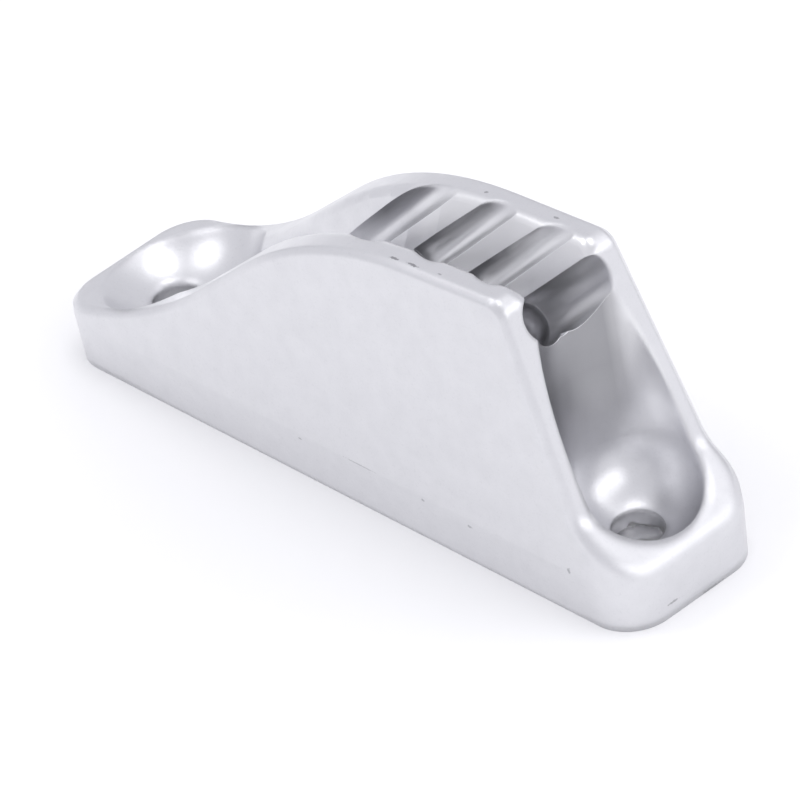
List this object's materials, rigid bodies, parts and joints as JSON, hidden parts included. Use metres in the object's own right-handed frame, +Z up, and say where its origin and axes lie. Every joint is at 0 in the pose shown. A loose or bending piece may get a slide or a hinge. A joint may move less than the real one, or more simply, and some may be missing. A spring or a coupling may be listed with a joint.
{
  "type": "jam cleat",
  "caption": "Cast metal jam cleat that grips a rope in a V groove with slanting flutes; a ramp leads in at the low end, and a screw hole stands in a scoop at each end.",
  "frame": {"origin": "middle of the flat base, at deck level", "axes": "+X along the cleat from its low ramp end to its tall steep end, +Y across it, +Z up from the deck"},
  "size_m": [0.082, 0.0188, 0.0332],
  "materials": {
    "cast_alloy": "satin as cast"
  },
  "bodies": {
    "root": {"cleat_body": "cast_alloy"}
  },
  "joints": []
}
